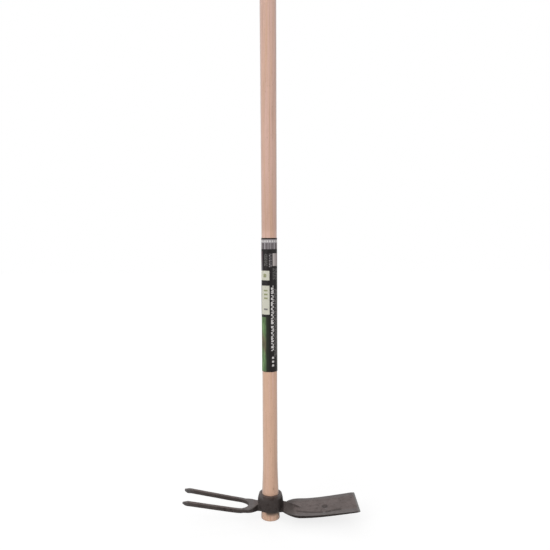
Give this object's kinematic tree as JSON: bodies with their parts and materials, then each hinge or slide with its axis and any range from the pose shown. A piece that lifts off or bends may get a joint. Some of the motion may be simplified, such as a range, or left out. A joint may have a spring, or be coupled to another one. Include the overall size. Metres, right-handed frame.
{
  "type": "double hoe",
  "caption": "Long handled double hoe: a forged steel head with a flat blade on one side and a tined fork on the other, driven onto a turned wooden handle with a printed wrap.",
  "frame": {"origin": "centre of the handle's flat butt end, below the eye of the head", "axes": "+Z along the handle from the butt end to the grip, +X towards the blade's cutting edge, -X towards the tines, -Y towards the viewer of the picture"},
  "size_m": [0.3022, 0.0732, 1.1],
  "materials": {
    "beech": "sanded, unvarnished",
    "forged_steel": "dark forge scale under thin oil, ground at the cutting edge",
    "printed_film": "satin printed film"
  },
  "bodies": {
    "root": {"handle": "beech", "forged_head": "forged_steel", "label_wrap": "printed_film"}
  },
  "joints": []
}
